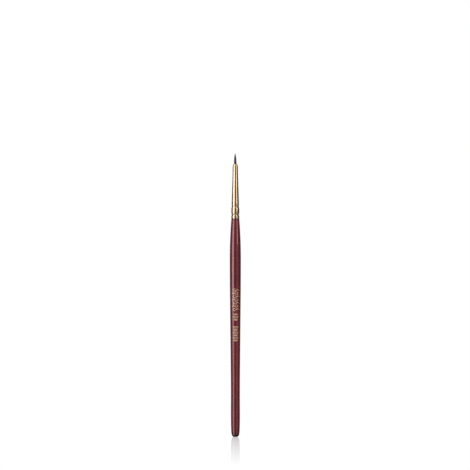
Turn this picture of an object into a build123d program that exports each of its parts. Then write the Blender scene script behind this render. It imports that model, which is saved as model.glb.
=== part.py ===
from build123d import *
import math
import os

# A fine detail brush, in millimetres. It stands on its butt: the origin is the centre of
# the small flat under the handle, and +Z runs up the axis to the point of the hair.

# whole brush
total_length = 170.0
hair_showing = 6.85
ferrule_length = 32.55
ferrule_mouth = total_length - hair_showing
ferrule_bottom = ferrule_mouth - ferrule_length

# turned handle, measured over its lacquer
butt_flat_radius = 1.2
shank_radius = 2.7
shank_bottom = 9.0
shank_top = 26.0
flare_radius = 2.97
flare_height = 60.0
belly_radius = 3.35
belly_height = 105.5
lacquer_thickness = 0.16

# drawn ferrule: a bell on the handle's shoulder, a groove, a plain band, a second groove,
# a long taper and a rolled nose
ferrule_wall = 0.3
bell_radius = 2.4
bell_length = 1.5
groove_radius = 2.07
groove_length = 1.7
band_radius = 2.375
band_length = 3.0
band_bottom = ferrule_bottom + bell_length + groove_length
band_top = band_bottom + band_length
taper_radius = 2.2
nose_radius = 1.61
nose_height = ferrule_bottom + 30.4
lip_radius = 1.17

# tenon of the handle, glued inside the ferrule
glue_film = 0.05
tenon_top = ferrule_bottom + 15.4
tenon_chamfer = 0.5

# hair, thread and resin inside the ferrule
hair_mouth_radius = 0.855
hair_root_radius = 1.0
hair_root_bottom = ferrule_mouth - 9.2
hair_root_top = ferrule_mouth + 0.12
hair_swell_height = ferrule_mouth - 3.9
bound_radius = 0.9
thread_radius = 0.11
thread_pitch = 0.25
thread_turns = 8
thread_bottom = hair_root_bottom + 1.2
thread_height = thread_pitch * thread_turns
thread_gap = 0.01
resin_bottom = hair_root_bottom - 3.6
resin_top = ferrule_mouth - 0.9

# hair past the mouth: a ball at its foot lets it tilt about the pivot without rubbing
pivot_height = ferrule_mouth + 1.1
tip_ball_radius = 0.8
tip_foot_height = pivot_height + 0.25
tip_end_radius = 0.06

# foil ornament on the front of the handle, a little round towards +X
foil_thickness = 0.03
foil_offset = 0.15
flourish_bottom = 75.5
flourish_bends = 7
flourish_step = 1.9
flourish_swing = 1.45
stem_width = 0.28
leaf_length = 2.2
leaf_width = 0.66
leaf_lean = 28
berry_radius = 0.27
berry_reach = 1.95
row_starts = (57.85, 70.25)
row_counts = (6, 3)
row_pitch = 1.58
row_reach = 1.5
bar_width = 0.4
bar_gap = 0.38
lozenge_height = 0.7

os.makedirs("parts", exist_ok=True)


def save(piece, name):
    """Label a finished piece and write it as its own STEP file."""
    piece.part.label = name
    export_step(piece.part, f"parts/{name}.step")


def handle_section(inset, mode=Mode.ADD):
    """Half section of the handle below the ferrule, drawn in by inset all round."""
    shank = shank_radius - inset
    flare = flare_radius - inset
    belly = belly_radius - inset
    with BuildLine() as outline:
        flat = Line((0, inset), (butt_flat_radius, inset))
        rounding = Bezier(
            flat @ 1,
            (2.1 - inset, 0.05 + inset),
            (2.5 - inset, 1.6 + inset),
            (2.56 - inset, 3.6),
        )
        foot = Bezier(
            rounding @ 1,
            (2.61 - inset, 5.3),
            (shank, 7.0),
            (shank, shank_bottom),
        )
        straight = Line(foot @ 1, (shank, shank_top))
        swell = Bezier(
            straight @ 1,
            (shank, shank_top + 10),
            (flare, flare_height),
            (belly, belly_height - 19.5),
            (belly, belly_height),
        )
        neck = Bezier(
            swell @ 1,
            (belly, belly_height + 9),
            (3.11 - inset, ferrule_bottom - 9.5),
            (bell_radius - inset, ferrule_bottom),
        )
        Polyline(neck @ 1, (0, ferrule_bottom), flat @ 0)
    make_face(outline.edges(), mode=mode)


def tube_section(inset, mode=Mode.ADD):
    """Half section of all that lies inside the ferrule's outline, drawn in by inset."""
    bell_end = ferrule_bottom + bell_length
    with BuildLine() as outline:
        bell = Line((bell_radius - inset, ferrule_bottom), (bell_radius - inset, bell_end))
        lower_groove = Spline(
            bell @ 1,
            (groove_radius - inset, bell_end + groove_length / 2),
            (band_radius - inset, band_bottom),
            tangents=((0, 1), (0, 1)),
        )
        band = Line(lower_groove @ 1, (band_radius - inset, band_top))
        upper_groove = Spline(
            band @ 1,
            (groove_radius - inset, band_top + groove_length / 2),
            (taper_radius - inset, band_top + groove_length),
            tangents=((0, 1), (0, 1)),
        )
        taper = Bezier(
            upper_groove @ 1,
            (2.08 - inset, ferrule_bottom + 15.4),
            (1.7 - inset, ferrule_bottom + 20.4),
            (nose_radius - inset, nose_height),
        )
        nose = Bezier(
            taper @ 1,
            (nose_radius - 0.01 - inset, nose_height + 1.1),
            (1.4 - inset, nose_height + 1.7),
            (lip_radius - inset, ferrule_mouth),
        )
        Polyline(nose @ 1, (0, ferrule_mouth), (0, ferrule_bottom), bell @ 0)
    make_face(outline.edges(), mode=mode)


def hair_root_section(mode=Mode.ADD):
    """Half section of the bundle in the ferrule, drawn in where the thread binds it."""
    with BuildLine() as outline:
        foot = Line((0, hair_root_bottom), (hair_root_radius, hair_root_bottom))
        flare = Spline(
            foot @ 1,
            (bound_radius, thread_bottom - thread_radius),
            tangents=((0, 1), (0, 1)),
        )
        bound = Line(flare @ 1, (bound_radius, thread_bottom + thread_height + thread_radius))
        swell = Spline(
            bound @ 1,
            (hair_root_radius, hair_swell_height),
            (hair_mouth_radius, ferrule_mouth),
            tangents=((0, 1), (0, 1)),
        )
        Polyline(swell @ 1, (hair_mouth_radius, hair_root_top), (0, hair_root_top), foot @ 0)
    make_face(outline.edges(), mode=mode)


def keep_heights(low, high):
    """Trim the sketch in hand to what lies between two heights."""
    with Locations((0, (low + high) / 2)):
        Rectangle(4 * belly_radius, high - low, mode=Mode.INTERSECT)


def foil_blank(low, high):
    """Revolve a skin of foil round the handle between two heights."""
    with BuildSketch(Plane.XZ) as skin:
        handle_section(-foil_thickness)
        handle_section(0, mode=Mode.SUBTRACT)
        keep_heights(low, high)
    revolve(skin.sketch, axis=Axis.Z)


# ferrule: one seamless tube
with BuildPart() as ferrule:
    with BuildSketch(Plane.XZ):
        tube_section(0)
        tube_section(ferrule_wall, mode=Mode.SUBTRACT)
    revolve(axis=Axis.Z)
save(ferrule, "ferrule")

# handle core: the turned wood, with a tenon that fills the lower half of the ferrule and
# is bitten by both crimps
with BuildPart() as handle_core:
    with BuildSketch(Plane.XZ):
        tube_section(ferrule_wall + glue_film)
        keep_heights(ferrule_bottom, tenon_top)
    revolve(axis=Axis.Z)
    chamfer(handle_core.faces().sort_by(Axis.Z)[-1].edges(), tenon_chamfer)
    with BuildSketch(Plane.XZ):
        handle_section(lacquer_thickness)
    revolve(axis=Axis.Z)
save(handle_core, "handle_core")

# lacquer coat: a thin shell over the wood, closed under the butt
with BuildPart() as lacquer_coat:
    with BuildSketch(Plane.XZ):
        handle_section(0)
        handle_section(lacquer_thickness, mode=Mode.SUBTRACT)
    revolve(axis=Axis.Z)
save(lacquer_coat, "lacquer_coat")

# glue film between tenon and ferrule
with BuildPart() as tenon_glue:
    with BuildSketch(Plane.XZ):
        tube_section(ferrule_wall)
        tube_section(ferrule_wall + glue_film, mode=Mode.SUBTRACT)
        keep_heights(ferrule_bottom, tenon_top - 2 * tenon_chamfer)
    revolve(axis=Axis.Z)
save(tenon_glue, "tenon_glue")

# hair bundle inside the ferrule
with BuildPart() as hair_root:
    with BuildSketch(Plane.XZ):
        hair_root_section()
    revolve(axis=Axis.Z)
save(hair_root, "hair_root")

# thread wound round the foot of the bundle
with BuildPart() as binding_thread:
    with BuildLine(Plane.XY.offset(thread_bottom)) as turns:
        Helix(thread_pitch, thread_height, bound_radius + thread_radius + thread_gap)
    with BuildSketch(Plane(origin=turns.line @ 0, z_dir=turns.line % 0)):
        Circle(thread_radius)
    sweep(path=turns.line, is_frenet=True)
save(binding_thread, "binding_thread")

# resin that locks the bundle and its thread in the tube
with BuildPart() as resin_plug:
    with BuildSketch(Plane.XZ):
        tube_section(ferrule_wall)
        hair_root_section(mode=Mode.SUBTRACT)
        keep_heights(resin_bottom, resin_top)
        with Locations((0, thread_bottom + thread_height / 2)):
            Rectangle(
                2 * (bound_radius + 2 * thread_radius + 2 * thread_gap),
                thread_height + 2 * (thread_radius + thread_gap),
                mode=Mode.SUBTRACT,
            )
    revolve(axis=Axis.Z)
save(resin_plug, "resin_plug")

# hair past the mouth, drawn to a point
with BuildPart() as hair_tip:
    foot_drop = tip_foot_height - pivot_height
    foot_radius = math.sqrt(tip_ball_radius**2 - foot_drop**2)
    with BuildSketch(Plane.XZ):
        with BuildLine():
            ball = RadiusArc(
                (0, pivot_height - tip_ball_radius),
                (foot_radius, tip_foot_height),
                -tip_ball_radius,
            )
            flank = Bezier(
                ball @ 1,
                (0.56, pivot_height + 1.8),
                (0.48, pivot_height + 4.0),
                (tip_end_radius, total_length - tip_end_radius),
            )
            Polyline(flank @ 1, (0, total_length), ball @ 0)
        make_face()
    revolve(axis=Axis.Z)
save(hair_tip, "hair_tip")

# foil flourish: a waving stem, with a leaf inside every bend and a berry beside it
flourish_top = flourish_bottom + flourish_bends * flourish_step
with BuildPart() as foil_flourish:
    foil_blank(flourish_bottom - leaf_length, flourish_top + leaf_length)
    with BuildSketch(Plane.XZ) as vine:
        bends = []
        for bend in range(flourish_bends):
            side = 1 if bend % 2 else -1
            bends.append((side, flourish_bottom + (bend + 0.5) * flourish_step))
        stem = [(foil_offset + side * flourish_swing, height) for side, height in bends]
        with BuildLine():
            Spline((foil_offset, flourish_bottom), *stem, (foil_offset, flourish_top))
        trace(line_width=stem_width)
        for side, height in bends:
            with Locations((foil_offset - 0.35 * side * flourish_swing, height)):
                Ellipse(leaf_length / 2, leaf_width / 2, rotation=-side * leaf_lean)
            with Locations((foil_offset - side * berry_reach, height)):
                Circle(berry_radius)
    extrude(vine.sketch, amount=2 * belly_radius, mode=Mode.INTERSECT)
save(foil_flourish, "foil_flourish")

# foil bars: two short rows of lozenges and pairs of bars in turn
with BuildPart() as foil_bars:
    foil_blank(row_starts[0] - row_pitch, row_starts[-1] + row_counts[-1] * row_pitch)
    with BuildSketch(Plane.XZ) as rows:
        for start, count in zip(row_starts, row_counts):
            for place in range(count):
                height = start + place * row_pitch
                if place % 2:
                    with Locations((foil_offset, height - bar_gap), (foil_offset, height + bar_gap)):
                        Rectangle(2 * row_reach, bar_width)
                else:
                    with Locations((foil_offset, height)):
                        Polygon(
                            (-row_reach, 0),
                            (0, -lozenge_height),
                            (row_reach, 0),
                            (0, lozenge_height),
                        )
    extrude(rows.sketch, amount=2 * belly_radius, mode=Mode.INTERSECT)
save(foil_bars, "foil_bars")
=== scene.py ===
import bpy
import math
import numpy as np
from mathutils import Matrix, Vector


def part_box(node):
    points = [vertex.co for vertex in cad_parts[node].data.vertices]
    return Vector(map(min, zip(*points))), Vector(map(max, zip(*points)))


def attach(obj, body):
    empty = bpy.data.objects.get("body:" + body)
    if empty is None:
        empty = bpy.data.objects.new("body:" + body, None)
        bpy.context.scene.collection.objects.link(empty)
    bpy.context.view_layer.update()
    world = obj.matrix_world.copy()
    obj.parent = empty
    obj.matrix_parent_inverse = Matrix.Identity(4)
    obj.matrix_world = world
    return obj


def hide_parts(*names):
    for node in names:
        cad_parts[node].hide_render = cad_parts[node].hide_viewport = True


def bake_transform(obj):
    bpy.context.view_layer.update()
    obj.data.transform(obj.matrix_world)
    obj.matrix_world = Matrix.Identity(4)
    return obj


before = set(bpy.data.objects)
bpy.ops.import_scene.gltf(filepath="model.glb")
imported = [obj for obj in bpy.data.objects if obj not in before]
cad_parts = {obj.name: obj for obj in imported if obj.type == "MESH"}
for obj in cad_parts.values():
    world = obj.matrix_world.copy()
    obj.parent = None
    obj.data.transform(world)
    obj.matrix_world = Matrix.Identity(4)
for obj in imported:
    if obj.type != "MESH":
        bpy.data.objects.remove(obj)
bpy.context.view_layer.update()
mm = 0.001
print("frame loaded:", len(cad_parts), "nodes")


# shapes

def outerOutline(node, apart):
    # Heights and radii along the outside of a turned CAD node: the vertices whose faces look
    # away from the axis, sorted by height and thinned to one in each `apart` of outline.
    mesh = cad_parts[node].data
    places = np.empty(len(mesh.vertices) * 3)
    facing = np.empty(len(mesh.vertices) * 3)
    mesh.vertices.foreach_get("co", places)
    mesh.vertex_normals.foreach_get("vector", facing)
    places = places.reshape(-1, 3)
    facing = facing.reshape(-1, 3)
    radii = np.hypot(places[:, 0], places[:, 1])
    outward = (facing[:, :2] * places[:, :2]).sum(1) > 0.2 * radii
    order = np.argsort(places[outward, 2], kind="stable")
    heights = places[outward, 2][order]
    radii = radii[outward][order]
    travelled = np.concatenate([[0], np.hypot(np.diff(heights), np.diff(radii)).cumsum()])
    kept = np.unique((travelled / apart).astype(int), return_index=True)[1]
    kept = np.append(kept[travelled[-1] - travelled[kept] > 0.4 * apart], len(heights) - 1)
    return heights[kept], radii[kept]


def smoothRun(known, values, wanted):
    # A curve through known values: the slope at each comes from its neighbours on both
    # sides, and between two of them runs the cubic that has those values and slopes.
    slopes = np.gradient(values, known)
    at = np.clip(np.searchsorted(known, wanted) - 1, 0, len(known) - 2)
    gap = known[at + 1] - known[at]
    t = (wanted - known[at]) / gap
    low = (1 + 2 * t) * (1 - t) ** 2 * values[at] + t * (1 - t) ** 2 * gap * slopes[at]
    high = t * t * (3 - 2 * t) * values[at + 1] - t * t * (1 - t) * gap * slopes[at + 1]
    return low + high


def turned(profile, around):
    # A surface of revolution as a grid: each (radius, height) of the profile is carried round
    # the axis, x = radius * cos(turn), y = radius * sin(turn), z = height.
    turn = np.linspace(0, 2 * math.pi, around, endpoint=False)
    radii = profile[:, 0][:, None]
    heights = np.repeat(profile[:, 1][:, None], around, axis=1)
    return np.stack([radii * np.cos(turn), radii * np.sin(turn), heights], axis=-1)


def gridFaces(rows, around, loop):
    # Four-sided faces between neighbouring rows of a grid that closes on itself sideways,
    # and from the last row to the first one where the profile is a loop.
    row = np.arange(rows if loop else rows - 1)[:, None]
    turn = np.arange(around)[None, :]
    up = (row + 1) % rows
    side = (turn + 1) % around
    corners = [row * around + turn, row * around + side, up * around + side, up * around + turn]
    return np.stack(corners, axis=-1).reshape(-1, 4)


def makePiece(name, points, faces, attributes=None):
    # A smooth-shaded mesh from whole arrays of points and faces.
    mesh = bpy.data.meshes.new(name)
    mesh.from_pydata(points.reshape(-1, 3).tolist(), [], faces)
    for label, values in (attributes or {}).items():
        mesh.attributes.new(label, "FLOAT", "POINT").data.foreach_set("value", values.ravel())
    mesh.shade_smooth()
    mesh.update()
    piece = bpy.data.objects.new(name, mesh)
    bpy.context.scene.collection.objects.link(piece)
    return piece


# node groups that several finishes share

def addNode(tree, kind, settings=None, sockets=None):
    node = tree.nodes.new(kind)
    for label, value in (settings or {}).items():
        setattr(node, label, value)
    for label, value in (sockets or {}).items():
        if hasattr(value, "is_output"):
            tree.links.new(value, node.inputs[label])
        else:
            node.inputs[label].default_value = value
    return node


def newGroup(name, inputs, outputs):
    tree = bpy.data.node_groups.new(name, "ShaderNodeTree")
    for label, kind, value in inputs:
        socket = tree.interface.new_socket(name=label, in_out="INPUT", socket_type=kind)
        if value is not None:
            socket.default_value = value
    for label, kind in outputs:
        tree.interface.new_socket(name=label, in_out="OUTPUT", socket_type=kind)
    return tree, tree.nodes.new("NodeGroupInput").outputs, tree.nodes.new("NodeGroupOutput").inputs


def buildMottle():
    # Cloudy variation: a broad noise and one five times as fine, stretched to fill 0 to 1.
    tree, given, result = newGroup(
        "mottle",
        [("Vector", "NodeSocketVector", None), ("Scale", "NodeSocketFloat", 100.0),
         ("Contrast", "NodeSocketFloat", 0.5)],
        [("Mask", "NodeSocketFloat")],
    )
    broad = addNode(tree, "ShaderNodeTexNoise", None,
                    {"Vector": given["Vector"], "Scale": given["Scale"], "Detail": 2.0})
    finer = addNode(tree, "ShaderNodeMath", {"operation": "MULTIPLY"}, {0: given["Scale"], 1: 5.0})
    fine = addNode(tree, "ShaderNodeTexNoise", None,
                   {"Vector": given["Vector"], "Scale": finer.outputs[0], "Detail": 3.0})
    both = addNode(tree, "ShaderNodeMath", {"operation": "MULTIPLY_ADD"},
                   {0: fine.outputs["Fac"], 1: 0.35, 2: broad.outputs["Fac"]})
    low = addNode(tree, "ShaderNodeMath", {"operation": "MULTIPLY_ADD"},
                  {0: given["Contrast"], 1: 0.45, 2: 0.2})
    high = addNode(tree, "ShaderNodeMath", {"operation": "MULTIPLY_ADD"},
                   {0: given["Contrast"], 1: -0.45, 2: 1.15})
    spread = addNode(tree, "ShaderNodeMapRange", {"clamp": True},
                     {"Value": both.outputs[0], "From Min": low.outputs[0], "From Max": high.outputs[0]})
    tree.links.new(spread.outputs[0], result["Mask"])
    return tree


def buildLines():
    # Fine lines: a noise whose directions are stretched apart, so its cells become streaks.
    # A large third number gives rings round the axis, and large first two give lines along it.
    tree, given, result = newGroup(
        "lines",
        [("Vector", "NodeSocketVector", None), ("Stretch", "NodeSocketVector", (50.0, 50.0, 5000.0)),
         ("Sharpness", "NodeSocketFloat", 0.5)],
        [("Mask", "NodeSocketFloat")],
    )
    stretched = addNode(tree, "ShaderNodeVectorMath", {"operation": "MULTIPLY"},
                        {0: given["Vector"], 1: given["Stretch"]})
    streaks = addNode(tree, "ShaderNodeTexNoise", None,
                      {"Vector": stretched.outputs[0], "Scale": 1.0, "Detail": 4.0, "Roughness": 0.65})
    low = addNode(tree, "ShaderNodeMath", {"operation": "MULTIPLY"}, {0: given["Sharpness"], 1: 0.45})
    high = addNode(tree, "ShaderNodeMath", {"operation": "SUBTRACT"}, {0: 1.0, 1: low.outputs[0]})
    spread = addNode(tree, "ShaderNodeMapRange", {"clamp": True},
                     {"Value": streaks.outputs["Fac"], "From Min": low.outputs[0],
                      "From Max": high.outputs[0]})
    tree.links.new(spread.outputs[0], result["Mask"])
    return tree


def buildSpecks():
    # Small round specks on scattered cells: 1 in the middle of each, 0 past its rim.
    tree, given, result = newGroup(
        "specks",
        [("Vector", "NodeSocketVector", None), ("Scale", "NodeSocketFloat", 1000.0),
         ("Size", "NodeSocketFloat", 0.2), ("Share", "NodeSocketFloat", 0.3)],
        [("Mask", "NodeSocketFloat")],
    )
    cells = addNode(tree, "ShaderNodeTexVoronoi", None,
                    {"Vector": given["Vector"], "Scale": given["Scale"]})
    near = addNode(tree, "ShaderNodeMapRange", {"clamp": True, "interpolation_type": "SMOOTHSTEP"},
                   {"Value": cells.outputs["Distance"], "From Min": 0.0, "From Max": given["Size"],
                    "To Min": 1.0, "To Max": 0.0})
    parts = addNode(tree, "ShaderNodeSeparateColor", None, {"Color": cells.outputs["Color"]})
    chosen = addNode(tree, "ShaderNodeMath", {"operation": "LESS_THAN"},
                     {0: parts.outputs[0], 1: given["Share"]})
    both = addNode(tree, "ShaderNodeMath", {"operation": "MULTIPLY"},
                   {0: near.outputs[0], 1: chosen.outputs[0]})
    tree.links.new(both.outputs[0], result["Mask"])
    return tree


mottle = buildMottle()
lines = buildLines()
specks = buildSpecks()
print("shared node groups built")


def placeGroup(tree, group, sockets):
    return addNode(tree, "ShaderNodeGroup", {"node_tree": group}, sockets).outputs["Mask"]


def mixColours(tree, mask, low, high):
    # low where the mask is 0 and high where it is 1; each is a colour or another node's output
    node = addNode(tree, "ShaderNodeMix", {"data_type": "RGBA"}, {0: mask})
    for place, value in ((6, low), (7, high)):
        if hasattr(value, "is_output"):
            tree.links.new(value, node.inputs[place])
        else:
            node.inputs[place].default_value = (*value, 1.0)
    return node.outputs[2]


def mapMask(tree, mask, low, high):
    return addNode(tree, "ShaderNodeMapRange", None,
                   {"Value": mask, "To Min": low, "To Max": high}).outputs[0]


def addBump(tree, height, depth, under=None):
    # depth is the real height of the relief, in metres
    sockets = {"Height": height, "Strength": 1.0, "Distance": depth}
    if under is not None:
        sockets["Normal"] = under
    return addNode(tree, "ShaderNodeBump", None, sockets).outputs["Normal"]


def newFinish(name, sockets):
    # A material with one Principled BSDF, its plain values on its own sockets; returns the
    # material, its tree, the shader and the Object coordinates
    material = bpy.data.materials.new(name)
    material.use_nodes = True
    tree = material.node_tree
    tree.nodes.clear()
    shader = addNode(tree, "ShaderNodeBsdfPrincipled", None, sockets)
    output = addNode(tree, "ShaderNodeOutputMaterial")
    tree.links.new(shader.outputs["BSDF"], output.inputs["Surface"])
    place = addNode(tree, "ShaderNodeTexCoord").outputs["Object"]
    return material, tree, shader, place


def wire(tree, shader, **outputs):
    # baseColor goes to Base Color, and so on
    names = {"baseColor": "Base Color", "roughness": "Roughness", "metallic": "Metallic",
             "normal": "Normal"}
    for label, output in outputs.items():
        tree.links.new(output, shader.inputs[names[label]])


def finishNode(node, material):
    # a carried-over CAD node takes a material in its own slots
    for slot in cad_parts[node].material_slots:
        slot.material = material


# handle: wine-red lacquer over turned wood

handle = {
    "around": 112,             # faces round the handle
    "buttStep": 0.09 * mm,     # rows on the rounded butt
    "shankStep": 0.55 * mm,    # rows on the long smooth part
    "buttHeight": 4.5 * mm,    # where the close rows end
    "shoulderRound": 0.1 * mm,   # softened edge of the coat under the ferrule
    "deepRed": (0.117, 0.0090, 0.0148),
    "warmRed": (0.160, 0.0145, 0.0208),
    "paintedShade": 0.30,            # how dark the painted shade makes the coat at the butt and under the ferrule
    "paintedShadeFoot": (0.2 * mm, 5.5 * mm),   # heights between which the painted shade at the butt clears
    "paintedShadeNeck": 1.3 * mm,    # reach of the painted shade under the ferrule
    "gloss": (0.055, 0.11),    # roughness where the coat is smoothest and dullest
    "orangePeel": 2.2e-6,      # height of the slow waves in the coat, in metres
    "peelScale": 620,
    "nibHeight": 6e-6,         # height of the dust nibs under the gloss, in metres
}


def makeHandle():
    # The coat's outside comes from the CAD coat, turned round the axis; its inside is the
    # same run drawn in by the coat's thickness, so the piece is a closed skin.
    heights, radii = outerOutline("lacquer_coat", 0.25 * mm)
    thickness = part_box("handle_core")[0].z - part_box("lacquer_coat")[0].z
    top = heights[-1] - handle["shoulderRound"]
    known = np.concatenate([[0], np.hypot(np.diff(heights), np.diff(radii)).cumsum()])
    butt = np.arange(0, handle["buttHeight"] - handle["buttStep"] / 2, handle["buttStep"])
    shank = np.arange(handle["buttHeight"], known[-1], handle["shankStep"])
    along = np.append(np.concatenate([butt, shank]), known[-1])
    outside = np.stack([smoothRun(known, radii, along), smoothRun(known, heights, along)], axis=-1)
    outside = outside[outside[:, 1] < top]
    bend = np.linspace(0, math.pi / 2, 7)
    edge = handle["shoulderRound"]
    shoulder = np.stack([radii[-1] - edge + edge * np.cos(bend), top + edge * np.sin(bend)], axis=-1)
    inside = outside[::-4] - [thickness, 0]
    inside = inside[inside[:, 1] > 2.2 * thickness]
    flat = np.linspace(0.25, 0.92, 4) * radii[0]
    under = np.stack([flat, np.full(4, heights[0])], axis=-1)
    above = np.stack([flat[::-1], np.full(4, heights[0] + thickness)], axis=-1)
    profile = np.concatenate([under, outside, shoulder, inside, above])
    rows = len(profile)
    around = handle["around"]
    grid = turned(profile, around).reshape(-1, 3)
    poles = np.array([[0, 0, heights[0]], [0, 0, heights[0] + thickness]])
    turn = np.arange(around)
    side = (turn + 1) % around
    foot = np.stack([np.full(around, rows * around), side, turn], axis=-1)
    last = (rows - 1) * around
    head = np.stack([last + turn, last + side, np.full(around, rows * around + 1)], axis=-1)
    faces = gridFaces(rows, around, False).tolist() + foot.tolist() + head.tolist()
    return makePiece("handleLacquer", np.concatenate([grid, poles]), faces)


def lacquerFinish():
    # Dipped gloss lacquer: slow colour clouds, fine pigment, painted shade that darkens the
    # colour at the butt and just under the ferrule, a faint orange peel, polishing lines round
    # the handle, and a few dust nibs under the gloss.
    material, tree, shader, place = newFinish(
        "redLacquer", {"IOR": 1.5, "Coat Weight": 1.0, "Coat Roughness": 0.03, "Coat IOR": 1.5,
                       "Specular Tint": (1.0, 0.5, 0.5, 1.0)})
    clouds = placeGroup(tree, mottle, {"Vector": place, "Scale": 70.0, "Contrast": 0.7})
    pigment = placeGroup(tree, mottle, {"Vector": place, "Scale": 5200.0, "Contrast": 0.6})
    red = mixColours(tree, clouds, handle["deepRed"], handle["warmRed"])
    shade = mapMask(tree, pigment, 0.86, 1.1)
    height = addNode(tree, "ShaderNodeSeparateXYZ", None, {"Vector": place}).outputs["Z"]
    low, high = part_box("lacquer_coat")
    # painted shade: the red is darkened towards the butt and for a short way under the ferrule
    foot = addNode(tree, "ShaderNodeMapRange", {"interpolation_type": "SMOOTHSTEP"},
                   {"Value": height, "From Min": low.z + handle["paintedShadeFoot"][0],
                    "From Max": low.z + handle["paintedShadeFoot"][1],
                    "To Min": handle["paintedShade"], "To Max": 1.0})
    neckShade = addNode(tree, "ShaderNodeMapRange", {"interpolation_type": "SMOOTHSTEP"},
                   {"Value": height, "From Min": high.z - handle["paintedShadeNeck"], "From Max": high.z,
                    "To Min": 1.0, "To Max": handle["paintedShade"]})
    paintedShade = addNode(tree, "ShaderNodeMath", {"operation": "MULTIPLY"},
                     {0: foot.outputs[0], 1: neckShade.outputs[0]})
    # the red is scaled by the fine pigment variation and by the painted shade at both ends
    depth = addNode(tree, "ShaderNodeMath", {"operation": "MULTIPLY"}, {0: shade, 1: paintedShade.outputs[0]})
    redPigmentAndShade = addNode(tree, "ShaderNodeVectorMath", {"operation": "SCALE"},
                      {0: red, "Scale": depth.outputs[0]})
    rings = placeGroup(tree, lines, {"Vector": place, "Stretch": (260.0, 260.0, 9000.0),
                                     "Sharpness": 0.8})
    dullness = mapMask(tree, rings, *handle["gloss"])
    nibs = placeGroup(tree, specks, {"Vector": place, "Scale": 420.0, "Size": 0.045, "Share": 0.13})
    peel = addNode(tree, "ShaderNodeTexNoise", None,
                   {"Vector": place, "Scale": handle["peelScale"], "Detail": 1.5}).outputs["Fac"]
    waves = addBump(tree, peel, handle["orangePeel"])
    dust = addBump(tree, nibs, handle["nibHeight"], waves)
    wire(tree, shader, baseColor=redPigmentAndShade.outputs[0], roughness=dullness, normal=dust)
    return material


lacquer = makeHandle()
lacquer.data.materials.append(lacquerFinish())
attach(lacquer, "brush")
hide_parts("lacquer_coat")
print("handle lacquered:", len(lacquer.data.polygons), "faces")


# ferrule: one drawn tube of gold-coloured brass

ferrule = {
    "around": 112,
    "step": 0.13 * mm,         # rows along the tube
    "endRound": 0.07 * mm,     # how far the cut ends are rounded over
    "paleGold": (0.660, 0.500, 0.345),
    "deepGold": (0.540, 0.395, 0.245),
    "tarnish": (0.360, 0.255, 0.130),
    "polish": (0.16, 0.28),    # roughness of the polished tube
    "lineDepth": 0.8e-6,       # depth of the polishing lines, in metres
    "crimpReach": 8 * mm,      # the crimps lie within this much of the lower end
    "crimpRadii": (2.08 * mm, 2.2 * mm),   # from fully inside a crimp to its edge
    "crimpTarnish": 0.14,
    "pitTarnish": 0.7,
}


def makeFerrule():
    # The tube's outside comes from the CAD ferrule and its inside is the same run drawn in
    # by the wall; half an ellipse closes the wall at each end, so the profile is one loop.
    heights, radii = outerOutline("ferrule", 0.12 * mm)
    wall = radii[0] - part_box("tenon_glue")[1].x
    known = np.concatenate([[0], np.hypot(np.diff(heights), np.diff(radii)).cumsum()])
    along = np.append(np.arange(0, known[-1], ferrule["step"]), known[-1])
    outside = np.stack([smoothRun(known, radii, along), smoothRun(known, heights, along)], axis=-1)
    over = ferrule["endRound"]
    kept = (outside[:, 1] > heights[0] + over) & (outside[:, 1] < heights[-1] - over)
    outside = outside[kept]
    inside = outside[::-2] - [wall, 0]
    bend = np.linspace(0, math.pi, 11)[1:-1]
    mouthRadii = outside[-1, 0] - wall / 2 + wall / 2 * np.cos(bend)
    mouth = np.stack([mouthRadii, heights[-1] - over + over * np.sin(bend)], axis=-1)
    footRadii = outside[0, 0] - wall / 2 - wall / 2 * np.cos(bend)
    foot = np.stack([footRadii, heights[0] + over - over * np.sin(bend)], axis=-1)
    profile = np.concatenate([outside, mouth, inside, foot])
    faces = gridFaces(len(profile), ferrule["around"], True)
    return makePiece("ferruleTube", turned(profile, ferrule["around"]), faces.tolist())


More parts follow.
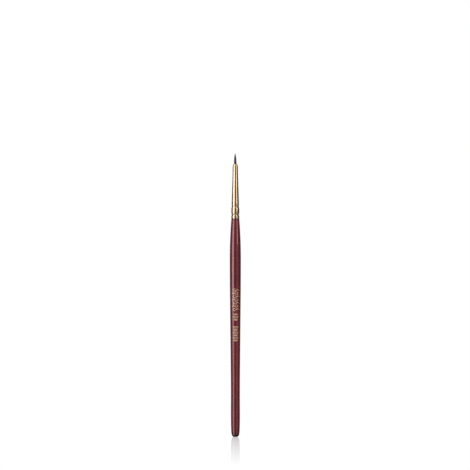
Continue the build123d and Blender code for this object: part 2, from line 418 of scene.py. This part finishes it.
def ferruleFinish():
    # Polished brass: turning lines round the tube, fainter draw lines along it, a colour
    # that drifts, darker metal in the crimps and a few small pits.
    material, tree, shader, place = newFinish("goldBrass", {"Metallic": 1.0})
    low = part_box("ferrule")[0]
    heights = addNode(tree, "ShaderNodeSeparateXYZ", None, {"Vector": place})
    across = addNode(tree, "ShaderNodeVectorMath", {"operation": "MULTIPLY"},
                     {0: place, 1: (1.0, 1.0, 0.0)})
    radius = addNode(tree, "ShaderNodeVectorMath", {"operation": "LENGTH"}, {0: across.outputs[0]})
    bite = addNode(tree, "ShaderNodeMapRange", {"interpolation_type": "SMOOTHSTEP"},
                   {"Value": radius.outputs["Value"], "From Min": ferrule["crimpRadii"][0],
                    "From Max": ferrule["crimpRadii"][1],
                    "To Min": 1.0, "To Max": 0.0})
    lowEnd = addNode(tree, "ShaderNodeMath", {"operation": "LESS_THAN"},
                     {0: heights.outputs["Z"], 1: low.z + ferrule["crimpReach"]})
    crimps = addNode(tree, "ShaderNodeMath", {"operation": "MULTIPLY"},
                     {0: bite.outputs[0], 1: lowEnd.outputs[0]})
    drift = placeGroup(tree, mottle, {"Vector": place, "Scale": 190.0, "Contrast": 0.6})
    turning = placeGroup(tree, lines, {"Vector": place, "Stretch": (180.0, 180.0, 16000.0),
                                       "Sharpness": 0.7})
    drawing = placeGroup(tree, lines, {"Vector": place, "Stretch": (7000.0, 7000.0, 90.0),
                                       "Sharpness": 0.7})
    pits = placeGroup(tree, specks, {"Vector": place, "Scale": 1500.0, "Size": 0.09, "Share": 0.12})
    gold = mixColours(tree, drift, ferrule["deepGold"], ferrule["paleGold"])
    dull = addNode(tree, "ShaderNodeMath", {"operation": "MAXIMUM"},
                   {0: addNode(tree, "ShaderNodeMath", {"operation": "MULTIPLY"},
                               {0: crimps.outputs[0], 1: ferrule["crimpTarnish"]}).outputs[0],
                    1: addNode(tree, "ShaderNodeMath", {"operation": "MULTIPLY"},
                               {0: pits, 1: ferrule["pitTarnish"]}).outputs[0]})
    colour = mixColours(tree, dull.outputs[0], gold, ferrule["tarnish"])
    smoothness = mapMask(tree, turning, *ferrule["polish"])
    roughness = addNode(tree, "ShaderNodeMath", {"operation": "MULTIPLY_ADD", "use_clamp": True},
                        {0: dull.outputs[0], 1: 0.2, 2: smoothness})
    fine = addBump(tree, turning, ferrule["lineDepth"])
    drawn = addBump(tree, drawing, 0.6 * ferrule["lineDepth"], fine)
    wire(tree, shader, baseColor=colour, roughness=roughness.outputs[0], normal=drawn)
    return material


tube = makeFerrule()
tube.data.materials.append(ferruleFinish())
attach(tube, "brush")
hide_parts("ferrule")
print("ferrule drawn:", len(tube.data.polygons), "faces")


# hair: single tapered hairs from the cut roots to the point

hair = {
    "strands": 330,
    "sides": 5,
    "rings": 12,
    "insideShare": 0.27,       # how far through a hair's rings their spacing changes
    "insideDepth": 0.2 * mm,   # and how far under the mouth that is
    "rootsUneven": 0.15 * mm,  # how unevenly the roots were cut
    "coneStart": 1.9 * mm,     # past the mouth, where the bundle starts to follow the CAD cone
    "rootThickness": 0.086 * mm,
    "tipThickness": 0.010 * mm,
    "stagger": 0.28,           # how much of the showing length the outermost hairs may lack
    "wander": 0.035,           # sideways drift, as a share of the bundle's radius
    "swirl": 0.25,             # turn of the bundle from the mouth to the point, in radians
    "fullness": 0.15,          # how much fuller, at most, the showing hair is than its CAD cone
    "lean": (-0.13 * mm, 0.06 * mm),   # how far the point lies off the axis
    "leanCurve": 1.2,          # above 1, the lean grows towards the point
    "bendLength": 2.5 * mm,    # stretch past the mouth over which the hair takes its bend
    "seed": 11,
    "rootColour": (0.060, 0.026, 0.013),
    "tipColour": (0.022, 0.017, 0.016),
    "sunBrown": (0.085, 0.042, 0.022),
}


def makeHair():
    # Hairs sit on a sunflower spiral: the k-th of n is at share sqrt(k / n) of the bundle's
    # radius, a golden angle after the one before. Each follows the bundle's radius up to its
    # own end, and a small ring that thins towards the end is carried along that path.
    random = np.random.default_rng(hair["seed"])
    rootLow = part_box("hair_root")[0]
    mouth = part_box("ferrule")[1].z
    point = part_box("hair_tip")[1].z
    rootHeights, rootRadii = outerOutline("hair_root", 0.3 * mm)
    tipHeights, tipRadii = outerOutline("hair_tip", 0.2 * mm)
    free = tipHeights > mouth + hair["coneStart"]
    bundleHeights = np.concatenate([rootHeights, tipHeights[free], [point]])
    bundleRadii = np.concatenate([rootRadii, tipRadii[free], [0.02 * mm]])
    count, rings, sides = hair["strands"], hair["rings"], hair["sides"]
    number = np.arange(count)
    share = np.sqrt((number + 0.5) / count)
    start = number * math.pi * (3 - math.sqrt(5)) + random.normal(0, 0.12, count)
    lacking = hair["stagger"] * share**2 * random.random(count) ** 1.3
    end = mouth + (point - mouth) * (1 - lacking)
    first = rootLow.z + hair["rootsUneven"] * random.random(count)
    # a third of each hair's rings are in the ferrule and the rest are past its mouth
    fraction = np.linspace(0, 1, rings)
    split, deep = hair["insideShare"], hair["insideDepth"]
    below = first[:, None] + (mouth - deep - first[:, None]) * (fraction / split)
    above = mouth - deep + (end[:, None] - mouth + deep) * ((fraction - split) / (1 - split))
    height = np.where(fraction < split, below, above)
    along = np.clip((height - mouth) / (point - mouth), 0, 1)
    reach = np.clip((height - mouth) / (end[:, None] - mouth), 0, 1)
    thick = hair["tipThickness"] + (hair["rootThickness"] - hair["tipThickness"]) * (1 - reach**1.7)
    bundle = np.interp(height, bundleHeights, bundleRadii)
    bundle = bundle * (1 + hair["fullness"] * np.sin(math.pi * along**1.5))
    phase = random.random((count, 1)) * 2 * math.pi
    drift = hair["wander"] * np.sin(phase + 5 * along) * (0.3 + along)
    shareAlong = np.clip(share[:, None] + drift, 0, 1)
    radius = shareAlong * np.maximum(bundle - thick / 2, 0)
    angle = start[:, None] + hair["swirl"] * along + 2 * drift
    bow = along ** hair["leanCurve"]
    across = radius * np.cos(angle) + hair["lean"][0] * bow
    back = radius * np.sin(angle) + hair["lean"][1] * bow
    centre = np.stack([across, back, height], axis=-1)
    corner = np.linspace(0, 2 * math.pi, sides, endpoint=False) + phase
    rim = np.stack([np.cos(corner), np.sin(corner), np.zeros_like(corner)], axis=-1)
    ring = centre[:, :, None, :] + thick[:, :, None, None] / 2 * rim[:, None, :, :]
    ends = np.stack([centre[:, 0], centre[:, -1] + [0, 0, 0.02 * mm]], axis=1)
    points = np.concatenate([ring.reshape(count, -1, 3), ends], axis=1)
    # faces of one hair, then the same for every hair, moved on by its number of points
    each = rings * sides + 2
    turn = np.arange(sides)
    side = (turn + 1) % sides
    last = (rings - 1) * sides
    foot = np.stack([np.full(sides, each - 2), side, turn], axis=-1)
    head = np.stack([last + turn, last + side, np.full(sides, each - 1)], axis=-1)
    shift = (number * each)[:, None, None]
    quads = (gridFaces(rings, sides, False)[None] + shift).reshape(-1, 4)
    fans = (np.concatenate([foot, head])[None] + shift).reshape(-1, 3)
    tone = np.repeat(random.random(count), each)
    ringAlong = np.repeat(along, sides, axis=1)
    poleAlong = np.stack([along[:, 0], along[:, -1]], axis=1)
    lengthwise = np.concatenate([ringAlong, poleAlong], axis=1)
    attributes = {"hairTone": tone, "hairLength": lengthwise}
    return makePiece("hairBundle", points, quads.tolist() + fans.tolist(), attributes)


def hairFinish():
    # Smooth dark hair, brown where it leaves the ferrule and darker towards the point, with
    # every hair its own shade.
    material, tree, shader, place = newFinish(
        "brownHair", {"IOR": 1.5, "Specular IOR Level": 0.35})
    tone = addNode(tree, "ShaderNodeAttribute", {"attribute_name": "hairTone"}).outputs["Fac"]
    length = addNode(tree, "ShaderNodeAttribute", {"attribute_name": "hairLength"}).outputs["Fac"]
    streaks = placeGroup(tree, lines, {"Vector": place, "Stretch": (9000.0, 9000.0, 500.0),
                                       "Sharpness": 0.6})
    colour = mixColours(tree, length, hair["rootColour"], hair["tipColour"])
    lit = addNode(tree, "ShaderNodeMapRange", {"clamp": True},
                  {"Value": tone, "From Min": 0.55, "From Max": 1.0, "To Max": 0.75})
    shaded = mixColours(tree, lit.outputs[0], colour, hair["sunBrown"])
    roughness = mapMask(tree, streaks, 0.28, 0.5)
    wire(tree, shader, baseColor=shaded, roughness=roughness, normal=addBump(tree, streaks, 2e-6))
    return material


bundle = makeHair()
bundle.data.materials.append(hairFinish())
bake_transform(bundle)
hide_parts("hair_root", "hair_tip")
print("hairs set:", hair["strands"], "hairs,", len(bundle.data.polygons), "faces")


# foil marks, and what the ferrule and the lacquer hide

foil = {
    "leaf": (0.510, 0.325, 0.190),
    "paleLeaf": (0.630, 0.430, 0.275),
    "rubbed": (0.200, 0.045, 0.040),   # lacquer showing through where the foil is thin
    "gloss": (0.34, 0.52),             # roughness
    "metal": (0.55, 0.05),             # how metallic, on the foil and where it is missing
    "crinkleHeight": 3e-6,             # in metres
}

hidden = {
    "paleWood": (0.560, 0.385, 0.225),
    "darkWood": (0.380, 0.235, 0.120),
    "glue": (0.640, 0.520, 0.300),
    "amberResin": (0.420, 0.215, 0.070),
    "threadLight": (0.640, 0.590, 0.500),
    "threadDark": (0.400, 0.350, 0.280),
}


def foilFinish():
    # Stamped foil: crinkled bright metal with pinholes and rubbed places.
    material, tree, shader, place = newFinish("stampedFoil", {"IOR": 1.5})
    crinkle = placeGroup(tree, mottle, {"Vector": place, "Scale": 2600.0, "Contrast": 0.8})
    worn = placeGroup(tree, mottle, {"Vector": place, "Scale": 1300.0, "Contrast": 0.45})
    thin = addNode(tree, "ShaderNodeMapRange", {"clamp": True},
                   {"Value": worn, "From Min": 0.80, "From Max": 0.95}).outputs[0]
    holes = placeGroup(tree, specks, {"Vector": place, "Scale": 6500.0, "Size": 0.22, "Share": 0.10})
    missing = addNode(tree, "ShaderNodeMath", {"operation": "MAXIMUM"}, {0: thin, 1: holes})
    gold = mixColours(tree, crinkle, foil["leaf"], foil["paleLeaf"])
    colour = mixColours(tree, missing.outputs[0], gold, foil["rubbed"])
    metal = mapMask(tree, missing.outputs[0], *foil["metal"])
    wire(tree, shader, baseColor=colour, metallic=metal,
         roughness=mapMask(tree, crinkle, *foil["gloss"]),
         normal=addBump(tree, crinkle, foil["crinkleHeight"]))
    return material


def woodFinish():
    # Close-grained birch: streaks along the handle and slow growth bands across it.
    material, tree, shader, place = newFinish("turnedBirch", {"IOR": 1.45})
    grain = placeGroup(tree, lines, {"Vector": place, "Stretch": (2600.0, 2600.0, 60.0),
                                     "Sharpness": 0.7})
    bands = placeGroup(tree, lines, {"Vector": place, "Stretch": (700.0, 120.0, 9.0),
                                     "Sharpness": 0.4})
    colour = mixColours(tree, grain, hidden["darkWood"], hidden["paleWood"])
    banded = mixColours(tree, mapMask(tree, bands, 0.0, 0.35), colour, hidden["darkWood"])
    wire(tree, shader, baseColor=banded, roughness=mapMask(tree, grain, 0.5, 0.7),
         normal=addBump(tree, grain, 1.2e-5))
    return material


def castFinish(name, colour, scale):
    # Set glue or resin: clouded, with bubbles.
    material, tree, shader, place = newFinish(name, {"IOR": 1.52})
    clouds = placeGroup(tree, mottle, {"Vector": place, "Scale": scale, "Contrast": 0.6})
    bubbles = placeGroup(tree, specks, {"Vector": place, "Scale": 3 * scale, "Size": 0.3,
                                        "Share": 0.25})
    dark = tuple(0.6 * part for part in colour)
    tint = mixColours(tree, clouds, dark, colour)
    wire(tree, shader, baseColor=tint, roughness=mapMask(tree, clouds, 0.18, 0.4),
         normal=addBump(tree, bubbles, 1.5e-5))
    return material


def threadFinish():
    # Waxed thread: slanting fibres in two shades.
    material, tree, shader, place = newFinish("waxedThread", {"IOR": 1.5, "Sheen Weight": 0.2})
    twist = addNode(tree, "ShaderNodeMapping", None, {"Vector": place, "Rotation": (0.5, 0.3, 0.0)})
    fibres = placeGroup(tree, lines, {"Vector": twist.outputs[0],
                                      "Stretch": (6000.0, 6000.0, 22000.0), "Sharpness": 0.8})
    colour = mixColours(tree, fibres, hidden["threadDark"], hidden["threadLight"])
    wire(tree, shader, baseColor=colour, roughness=mapMask(tree, fibres, 0.45, 0.7),
         normal=addBump(tree, fibres, 1e-5))
    return material


gilding = foilFinish()
finishNode("foil_flourish", gilding)
finishNode("foil_bars", gilding)
finishNode("handle_core", woodFinish())
finishNode("tenon_glue", castFinish("setGlue", hidden["glue"], 900.0))
finishNode("resin_plug", castFinish("amberResin", hidden["amberResin"], 1200.0))
finishNode("binding_thread", threadFinish())
print("foil and hidden pieces finished")


# floor, light and camera

studio = {
    "floorReach": 3.0,          # metres from the brush to the floor's edge
    "fadeReach": 0.116,         # how far from the butt the floor still mirrors, in metres
    "fadePower": 1.1,           # above 1, the mirror fades faster near the butt
    "mirrorRoughness": 0.04,
    "floorSteps": 8,            # faces along each side of the floor
    "mirrorCap": 0.42,          # the most that the floor mirrors, seen almost edge on
    "roomGlow": 0.11,           # the dim room, as glossy surfaces see it
    "roomFill": 0.28,           # the same room, as it lights matt colour
    # azimuth from the camera's side, distance, width, lowest and highest edge, brightness,
    # and whether the panel shows in glossy surfaces or only lights their colour
    "panels": {
        "leftSoftbox": (-51, 0.85, 0.62, -0.65, 1.5, 2.1, "gloss"),
        "leftUpper": (-51, 0.84, 0.62, 0.02, 1.5, 1.1, "gloss"),
        "rightSoftbox": (43, 0.95, 0.74, -0.65, 1.5, 0.50, "gloss"),
        "highSoftbox": (47, 1.2, 0.34, 0.17, 1.5, 2.6, "gloss"),
        "backSoftbox": (180, 1.5, 0.90, -0.9, 0.9, 1.1, "gloss"),
        "frontFill": (-18, 1.3, 0.6, 0.0, 1.6, 6.2, "matt"),
        "rearFill": (198, 1.3, 0.8, 0.0, 1.6, 3.8, "matt"),
    },
    "ceiling": (1.6, 2.4, 0.5),     # height, side and brightness of the panel overhead
}


def addPanel(name, place, target, width, length, brightness, seenIn="both"):
    # an evenly bright panel that faces its target, unseen by the camera itself
    data = bpy.data.lights.new(name, "AREA")
    data.shape = "RECTANGLE"
    data.size = width
    data.size_y = length
    data.energy = brightness * math.pi * width * length
    panel = bpy.data.objects.new(name, data)
    bpy.context.scene.collection.objects.link(panel)
    panel.location = place
    panel.rotation_euler = (Vector(target) - Vector(place)).to_track_quat("-Z", "Y").to_euler()
    panel.visible_camera = False
    panel.visible_diffuse = seenIn != "gloss"
    panel.visible_glossy = seenIn != "matt"


def lightRoom():
    for name, (azimuth, distance, width, low, high, brightness, seenIn) in studio["panels"].items():
        a = math.radians(azimuth)
        middle = (low + high) / 2
        place = (distance * math.sin(a), -distance * math.cos(a), middle)
        addPanel(name, place, (0, 0, middle), width, high - low, brightness, seenIn)
    height, side, brightness = studio["ceiling"]
    addPanel("ceilingPanel", (0, 0, height), (0, 0, 0), side, side, brightness)
    world = bpy.data.worlds.new("paleRoom")
    bpy.context.scene.world = world
    world.use_nodes = True
    tree = world.node_tree
    tree.nodes.clear()
    seen = addNode(tree, "ShaderNodeLightPath").outputs
    room = addNode(tree, "ShaderNodeMapRange", None,
                   {"Value": seen["Is Diffuse Ray"], "To Min": studio["roomGlow"],
                    "To Max": studio["roomFill"]})
    strength = addNode(tree, "ShaderNodeMath", {"operation": "MAXIMUM"},
                       {0: seen["Is Camera Ray"], 1: room.outputs[0]})
    glow = addNode(tree, "ShaderNodeBackground", None,
                   {"Color": (1, 1, 1, 1), "Strength": strength.outputs[0]})
    output = addNode(tree, "ShaderNodeOutputWorld")
    tree.links.new(glow.outputs[0], output.inputs["Surface"])


def layFloor():
    # a flat pale sheet, as a grid round the brush
    reach = studio["floorReach"]
    count = studio["floorSteps"] + 1
    steps = np.linspace(-reach, reach, count)
    x, y = np.meshgrid(steps, steps)
    points = np.stack([x, y, np.zeros_like(x)], axis=-1)
    corner = np.arange(count - 1)[:, None] * count + np.arange(count - 1)
    faces = np.stack([corner, corner + 1, corner + count + 1, corner + count],
                     axis=-1).reshape(-1, 4)
    floor = makePiece("paleFloor", points, faces.tolist())
    floor.visible_glossy = False
    floor.visible_shadow = False
    material = bpy.data.materials.new("paleAcrylic")
    material.use_nodes = True
    tree = material.node_tree
    tree.nodes.clear()
    place = addNode(tree, "ShaderNodeTexCoord").outputs["Object"]
    far = addNode(tree, "ShaderNodeVectorMath", {"operation": "LENGTH"}, {0: place})
    near = addNode(tree, "ShaderNodeMapRange", {"clamp": True},
                   {"Value": far.outputs["Value"], "From Max": studio["fadeReach"],
                    "To Min": 1.0, "To Max": 0.0})
    fade = addNode(tree, "ShaderNodeMath", {"operation": "POWER"},
                   {0: near.outputs[0], 1: studio["fadePower"]})
    grazing = addNode(tree, "ShaderNodeMapRange", {"clamp": True},
                      {"Value": addNode(tree, "ShaderNodeFresnel", None, {"IOR": 1.5}).outputs[0],
                       "From Max": studio["mirrorCap"], "To Max": studio["mirrorCap"]})
    share = addNode(tree, "ShaderNodeMath", {"operation": "MULTIPLY"},
                    {0: grazing.outputs[0], 1: fade.outputs[0]})
    white = addNode(tree, "ShaderNodeEmission", None, {"Color": (1, 1, 1, 1), "Strength": 1.0})
    mirror = addNode(tree, "ShaderNodeBsdfAnisotropic", None,
                     {"Color": (1, 1, 1, 1), "Roughness": studio["mirrorRoughness"]})
    shown = addNode(tree, "ShaderNodeMixShader", None,
                    {0: share.outputs[0], 1: white.outputs[0], 2: mirror.outputs[0]})
    matt = addNode(tree, "ShaderNodeBsdfDiffuse", None, {"Color": (0.3, 0.3, 0.3, 1)})
    seen = addNode(tree, "ShaderNodeLightPath").outputs["Is Camera Ray"]
    whole = addNode(tree, "ShaderNodeMixShader", None,
                    {0: seen, 1: matt.outputs[0], 2: shown.outputs[0]})
    output = addNode(tree, "ShaderNodeOutputMaterial")
    tree.links.new(whole.outputs[0], output.inputs["Surface"])
    floor.data.materials.append(material)


camera = {
    "lens": 120,                # millimetres, on a frame 36 mm wide
    "distance": 0.938,          # from the camera to the brush's axis, in metres
    "height": 0.1208,           # and above the floor
    "aside": -0.00020,          # and to the right of the axis
    "roll": 0.0004,             # radians, so the upright leans a trace to the left
}


def placeCamera():
    data = bpy.data.cameras.new("camera")
    data.lens = camera["lens"]
    data.sensor_width = 36
    data.clip_start = 0.01
    seer = bpy.data.objects.new("camera", data)
    bpy.context.scene.collection.objects.link(seer)
    seer.location = (camera["aside"], -camera["distance"], camera["height"])
    seer.rotation_euler = (math.pi / 2, camera["roll"], 0)
    bpy.context.scene.camera = seer


lightRoom()
layFloor()
placeCamera()
bpy.context.scene.view_settings.view_transform = "Standard"
print("studio ready")
